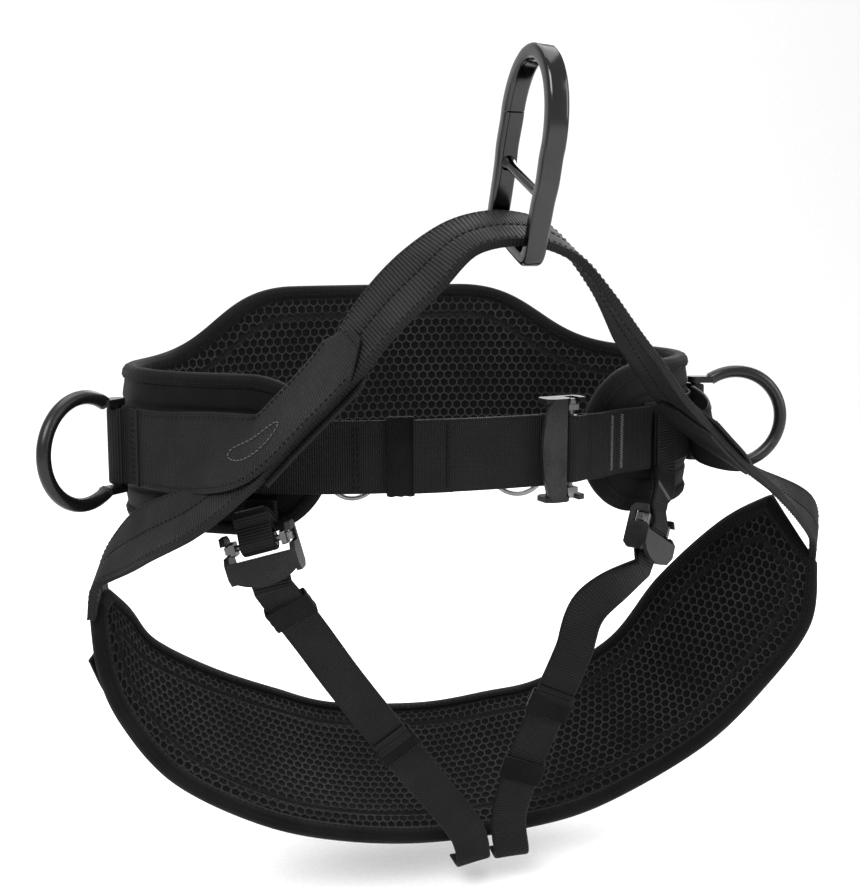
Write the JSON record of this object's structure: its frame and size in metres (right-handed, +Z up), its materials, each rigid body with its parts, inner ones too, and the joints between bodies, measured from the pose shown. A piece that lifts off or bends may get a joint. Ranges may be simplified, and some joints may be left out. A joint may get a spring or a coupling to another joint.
{
  "type": "tree climbing saddle",
  "caption": "Padded waist belt with a hanging padded seat, leg straps with metal buckles, side rings and a webbing bridge that carries a tall metal ring.",
  "frame": {"origin": "centre of the waist opening, midway up the belt's main webbing", "axes": "+Z up through the waist opening, -Y to the front where the waist buckle and the bridge are, +X to the wearer's left"},
  "size_m": [0.5641, 0.3618, 0.5423],
  "materials": {
    "cover_fabric": "matte woven nylon cover",
    "foam": "closed-cell foam",
    "spacer_mesh": "honeycomb spacer mesh, matte",
    "binding_tape": "folded binding tape, slight sheen",
    "webbing": "ribbed polyester webbing, slight sheen",
    "bridge_webbing": "thick doubled webbing with centre stitch",
    "elastic": "flat elastic",
    "buckle_black": "black anodised, satin",
    "latch_silver": "bright",
    "spring_steel": "plain",
    "ring_polished": "dark polished forged metal",
    "ring_black": "black anodised, satin",
    "gear_wire": "grey wire, satin"
  },
  "bodies": {
    "belt": {"belt_cover": "cover_fabric", "belt_foam": "foam", "belt_mesh_liner": "spacer_mesh", "belt_binding": "binding_tape", "waist_webbing": "webbing", "front_strap": "webbing", "front_strap_tail": "webbing", "waist_buckle_frame": "buckle_black", "waist_tab": "webbing", "left_leg_buckle_frame": "buckle_black", "right_leg_buckle_frame": "buckle_black", "left_leg_tab": "webbing", "right_leg_tab": "webbing", "left_leg_strap": "webbing", "right_leg_strap": "webbing", "side_keeper_left": "webbing", "side_keeper_right": "webbing", "bridge_strap": "bridge_webbing", "bridge_sleeve_left": "webbing", "bridge_sleeve_right": "webbing", "seat_cover": "cover_fabric", "seat_foam": "foam", "seat_mesh_liner": "spacer_mesh", "seat_binding": "binding_tape", "seat_load_webbing": "webbing", "gear_tab_left": "webbing", "gear_tab_middle": "webbing", "gear_tab_right": "webbing"},
    "waist_pin": {"waist_buckle_pin": "buckle_black", "waist_buckle_springs": "spring_steel", "waist_tab_eye": "webbing"},
    "waist_latch_a": {"waist_buckle_latch_a": "latch_silver"},
    "waist_latch_b": {"waist_buckle_latch_b": "latch_silver"},
    "left_leg_pin": {"left_leg_buckle_pin": "buckle_black", "left_leg_buckle_springs": "spring_steel", "left_leg_tab_eye": "webbing"},
    "left_leg_latch_a": {"left_leg_buckle_latch_a": "latch_silver"},
    "left_leg_latch_b": {"left_leg_buckle_latch_b": "latch_silver"},
    "right_leg_pin": {"right_leg_buckle_pin": "buckle_black", "right_leg_buckle_springs": "spring_steel", "right_leg_tab_eye": "webbing"},
    "right_leg_latch_a": {"right_leg_buckle_latch_a": "latch_silver"},
    "right_leg_latch_b": {"right_leg_buckle_latch_b": "latch_silver"},
    "front_keeper": {"front_strap_keeper": "elastic"},
    "left_leg_keeper": {"left_leg_keeper": "elastic"},
    "right_leg_keeper": {"right_leg_keeper": "elastic"},
    "side_ring_left": {"side_ring_left": "ring_black"},
    "side_ring_right": {"side_ring_right": "ring_black"},
    "bridge_ring": {"bridge_ring": "ring_polished"},
    "gear_ring_left": {"gear_ring_left": "gear_wire"},
    "gear_ring_middle": {"gear_ring_middle": "gear_wire"},
    "gear_ring_right": {"gear_ring_right": "gear_wire"}
  },
  "joints": [
    {"name": "waist_pin_lift", "type": "slide", "parent": "belt", "child": "waist_pin", "axis": [0.1781, -0.984, 0], "range_m": [0, 0.015]},
    {"name": "waist_latch_a_press", "type": "slide", "parent": "waist_pin", "child": "waist_latch_a", "axis": [0, 0, -1], "range_m": [0, 0.0025], "stiffness_N_per_m": 800},
    {"name": "waist_latch_b_press", "type": "slide", "parent": "waist_pin", "child": "waist_latch_b", "axis": [0, 0, 1], "range_m": [0, 0.0025], "stiffness_N_per_m": 800},
    {"name": "left_leg_pin_lift", "type": "slide", "parent": "belt", "child": "left_leg_pin", "axis": [-0.4067, -0.9135, 0], "range_m": [0, 0.015]},
    {"name": "left_leg_latch_a_press", "type": "slide", "parent": "left_leg_pin", "child": "left_leg_latch_a", "axis": [0.8782, -0.391, 0.2756], "range_m": [0, 0.0025], "stiffness_N_per_m": 800},
    {"name": "left_leg_latch_b_press", "type": "slide", "parent": "left_leg_pin", "child": "left_leg_latch_b", "axis": [-0.8782, 0.391, -0.2756], "range_m": [0, 0.0025], "stiffness_N_per_m": 800},
    {"name": "right_leg_pin_lift", "type": "slide", "parent": "belt", "child": "right_leg_pin", "axis": [0.6157, -0.788, 0], "range_m": [0, 0.015]},
    {"name": "right_leg_latch_a_press", "type": "slide", "parent": "right_leg_pin", "child": "right_leg_latch_a", "axis": [0.7083, 0.5534, -0.4384], "range_m": [0, 0.0025], "stiffness_N_per_m": 800},
    {"name": "right_leg_latch_b_press", "type": "slide", "parent": "right_leg_pin", "child": "right_leg_latch_b", "axis": [-0.7083, -0.5534, 0.4384], "range_m": [0, 0.0025], "stiffness_N_per_m": 800},
    {"name": "front_keeper_slide", "type": "slide", "parent": "belt", "child": "front_keeper", "axis": [0.9921, -0.1255, 0], "range_m": [-0.008, 0]},
    {"name": "left_leg_keeper_slide", "type": "slide", "parent": "belt", "child": "left_leg_keeper", "axis": [0.5883, 0.2143, -0.7798], "range_m": [-0.006, 0.006]},
    {"name": "right_leg_keeper_slide", "type": "slide", "parent": "belt", "child": "right_leg_keeper", "axis": [-0.2398, 0.3197, -0.9167], "range_m": [-0.006, 0.006]},
    {"name": "side_ring_left_swing", "type": "hinge", "parent": "belt", "child": "side_ring_left", "pos_m": [-0.20405, -0.02122, 0], "axis": [0, 0, 1], "range_deg": [-65, 10]},
    {"name": "side_ring_right_swing", "type": "hinge", "parent": "belt", "child": "side_ring_right", "pos_m": [0.20606, -0.01277, 0], "axis": [0, 0, 1], "range_deg": [-10, 50]},
    {"name": "bridge_ring_tilt", "type": "hinge", "parent": "belt", "child": "bridge_ring", "pos_m": [0.00683, -0.17321, 0.12995], "axis": [0.0324, -0.9266, -0.3746], "range_deg": [-40, 40]},
    {"name": "gear_ring_left_swing", "type": "hinge", "parent": "belt", "child": "gear_ring_left", "pos_m": [-0.11296, 0.10265, -0.033], "axis": [0.9377, 0.3475, 0], "range_deg": [0, 90]},
    {"name": "gear_ring_middle_swing", "type": "hinge", "parent": "belt", "child": "gear_ring_middle", "pos_m": [-0.01447, 0.1221, -0.033], "axis": [0.9992, 0.0399, 0], "range_deg": [0, 90]},
    {"name": "gear_ring_right_swing", "type": "hinge", "parent": "belt", "child": "gear_ring_right", "pos_m": [0.11296, 0.10265, -0.033], "axis": [0.9377, -0.3475, 0], "range_deg": [0, 90]}
  ]
}
